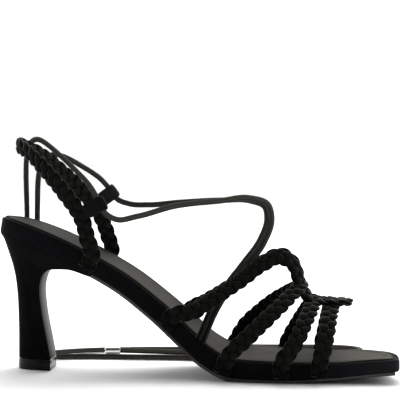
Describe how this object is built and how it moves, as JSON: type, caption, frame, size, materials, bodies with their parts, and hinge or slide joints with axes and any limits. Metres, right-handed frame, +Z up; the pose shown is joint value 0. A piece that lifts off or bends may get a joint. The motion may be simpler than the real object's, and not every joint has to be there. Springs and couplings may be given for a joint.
{
  "type": "heeled sandal",
  "caption": "Heeled sandal for the left foot with plaited straps over the toes, a plaited heel sling, a slim flared heel and thin ankle ties with metal tips, standing empty.",
  "frame": {"origin": "middle of the standing shoe's box, on the floor, measured without the free ends of the ties", "axes": "+X towards the toe, +Y towards the outer side of the foot, +Z up"},
  "size_m": [0.236, 0.1629, 0.1372],
  "materials": {
    "suede": "black suede, matt nap",
    "lining": "dark grey, matt",
    "sole_sheet": "dark, satin",
    "lift": "black, slightly glossy",
    "cord": "charcoal suede cord",
    "nickel": "polished"
  },
  "bodies": {
    "root": {"outsole": "sole_sheet", "footbed": "suede", "insole": "lining", "heel": "suede", "heel_tip": "lift", "vamp": "suede", "sling": "suede", "keeper_inner": "suede", "keeper_outer": "suede", "tie_instep": "cord", "tie_end_inner": "cord", "tie_end_outer": "cord", "aglet_inner": "nickel", "aglet_outer": "nickel"}
  },
  "joints": []
}
